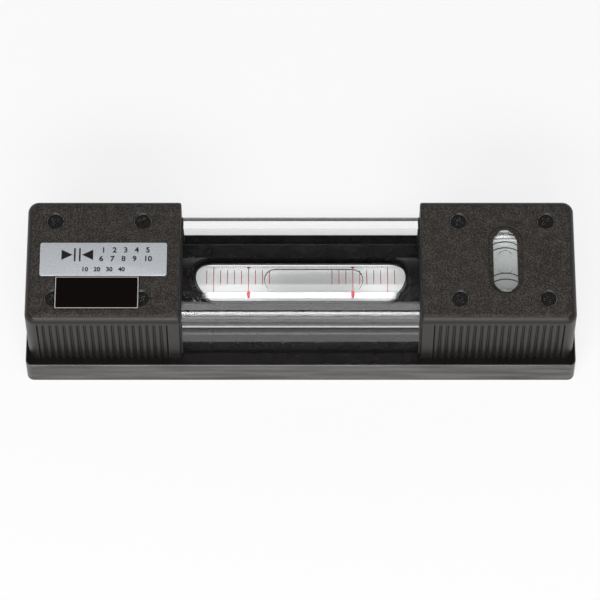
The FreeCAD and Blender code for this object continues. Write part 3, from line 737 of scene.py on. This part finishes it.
def graduations():
    """Ten lines each side: short ones, and two long ones, of which the inner ends in dots."""
    shape = bmesh.new()
    radius = vial_radius + print_gap
    for side in (-1, 1):
        for index in range(lines_each_side):
            x = side * (first_line + index * line_pitch)
            arc = long_arc if index in (dotted_line, long_line) else short_arc
            arc_strip(shape, x, line_width, vial_middle, radius, -arc[1], -arc[0], 12)
            if index == dotted_line:
                for end in long_arc:
                    dot = bmesh.ops.create_circle(shape, cap_ends=True, segments=24,
                                                  radius=dot_radius)["verts"]
                    top = vial_middle.z + radius + dot_lift
                    bmesh.ops.translate(shape, verts=dot, vec=(x, vial_middle.y, top))
                    tilt = Matrix.Rotation(math.radians(end), 3, "X")
                    bmesh.ops.rotate(shape, verts=dot, cent=vial_middle, matrix=tilt)
    bmesh.ops.recalc_face_normals(shape, faces=shape.faces)
    bmesh.ops.solidify(shape, geom=shape.faces, thickness=-print_film)
    return shape


red_print = speckled("red_enamel", (0.42, 0.015, 0.04), (0.52, 0.03, 0.06), 0.4, 0.3, 0.004)
add_piece("vial_graduations", graduations(), red_print, "vial_carrier", smooth=False)

# %% [markdown]
# ### Rings of the cross vial
# Two pairs of thin black rings mark where the small bubble belongs. Each is painted over the upper half
# of the vial only, so that no second ring shows through the liquid from below.

# %% Black rings
ring_offsets = (5.2, 7.65)
ring_width = 0.42
ring_reach = math.radians(62)


def black_rings():
    """Four bands over the upper half of the cross vial."""
    low, high = box_mm("cross_vial_glass")
    centre = (low + high) / 2
    radius = (high.z - low.z) / 2 + print_gap
    shape = bmesh.new()
    for side in (-1, 1):
        for offset in ring_offsets:
            y = centre.y + side * offset
            start = [shape.verts.new((centre.x, y + half * ring_width / 2, centre.z + radius))
                     for half in (-1, 1)]
            edge = shape.edges.new(start)
            bmesh.ops.rotate(shape, verts=start, cent=centre, matrix=Matrix.Rotation(-ring_reach, 3, "Y"))
            bmesh.ops.spin(shape, geom=start + [edge], cent=centre, axis=Y_AXIS, angle=2 * ring_reach,
                           steps=36, use_duplicate=False)
    bmesh.ops.recalc_face_normals(shape, faces=shape.faces)
    bmesh.ops.solidify(shape, geom=shape.faces, thickness=-print_film)
    return shape


black_print = speckled("black_print", (0.006, 0.006, 0.007), (0.012, 0.012, 0.014), 0.45, 0.3, 0.004)
add_piece("cross_vial_rings", black_rings(), black_print, "base", smooth=False)

# %% [markdown]
# ### Data plate
# The plate is a thin sheet of silver metal with rounded edges. Its print is generic: two arrows that
# point at a pair of lines, and rows of plain counting numbers. The numbers start as text objects, which
# are made a mesh before they are laid in place.

# %% Silver plate
plate_low, plate_high = box_mm("data_plate")
plate_middle = (plate_low + plate_high) / 2
plate_thickness = 0.46
plate_corner = 0.8


def plate_sheet():
    """Sheet with rounded corners and a softened top edge."""
    shape = bmesh.new()
    bmesh.ops.create_cube(shape, size=1.0)
    size = plate_high - plate_low
    bmesh.ops.scale(shape, vec=(size.x, size.y, plate_thickness), verts=shape.verts)
    upright = [edge for edge in shape.edges
               if abs(edge.verts[0].co.z - edge.verts[1].co.z) > plate_thickness / 2]
    bmesh.ops.bevel(shape, geom=upright, offset=plate_corner, offset_type="OFFSET", affect="EDGES",
                    segments=6, profile=0.5, material=-1)
    top = [edge for edge in shape.edges if min(vert.co.z for vert in edge.verts) > 0]
    bmesh.ops.bevel(shape, geom=top, offset=0.12, offset_type="OFFSET", affect="EDGES", segments=3,
                    profile=0.5, material=-1)
    bmesh.ops.translate(shape, verts=shape.verts,
                        vec=(plate_middle.x, plate_middle.y, plate_low.z + plate_thickness / 2))
    return shape


# The plate's lighter edges are a painted highlight.
silver = speckled("silver_plate", (0.52, 0.55, 0.58), (0.66, 0.69, 0.73), 0.42, 0.5, 0.006, metallic=0.2,
                  edge_glint_colour=(0.75, 0.76, 0.78), reach=0.5)
plate = add_piece("silver_plate", plate_sheet(), silver, "base")
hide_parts("data_plate")

# %% Print on the plate
print_level = plate_low.z + plate_thickness + 0.01
plate_film = 0.02
bar_height = 5.4
pictogram_x = -9.4
pictogram_y = 1.7
plate_numbers = (("1   2   3   4   5", 3.0, 8.0, 3.6), ("6   7   8   9   10", 3.0, 8.0, 0.0),
                 ("10   20   30   40", 2.4, 0.0, -4.3))
number_weight = 0.09


def flat_patch(shape, corners):
    """Flat face through corners given from the middle of the plate."""
    shape.faces.new([shape.verts.new((plate_middle.x + x, plate_middle.y + y, print_level))
                     for x, y in corners])


def plate_print():
    """Two bars with an arrow at each side, and the numbers."""
    shape = bmesh.new()
    for side in (-1, 1):
        x = pictogram_x + side * 0.9
        flat_patch(shape, [(x - 0.3, pictogram_y - bar_height / 2), (x + 0.3, pictogram_y - bar_height / 2),
                           (x + 0.3, pictogram_y + bar_height / 2), (x - 0.3, pictogram_y + bar_height / 2)])
        tip = pictogram_x + side * 1.7
        tail = pictogram_x + side * 5.7
        flat_patch(shape, [(tip, pictogram_y), (tail, pictogram_y + 2.1), (tail, pictogram_y - 2.1)])
    for words, size, x, y in plate_numbers:
        text = bpy.data.curves.new("numbers", "FONT")
        text.body = words
        text.size = size
        text.align_x = "CENTER"
        text.align_y = "CENTER"
        text.resolution_u = 3
        text.offset = number_weight
        holder = bpy.data.objects.new("numbers", text)
        flat = bpy.data.meshes.new_from_object(holder)
        flat.transform(Matrix.Translation((plate_middle.x + x, plate_middle.y + y, print_level)))
        shape.from_mesh(flat)
        bpy.data.objects.remove(holder)
    bmesh.ops.recalc_face_normals(shape, faces=shape.faces)
    bmesh.ops.solidify(shape, geom=shape.faces, thickness=plate_film)
    return shape


add_piece("plate_print", plate_print(), black_print, "base", smooth=False)
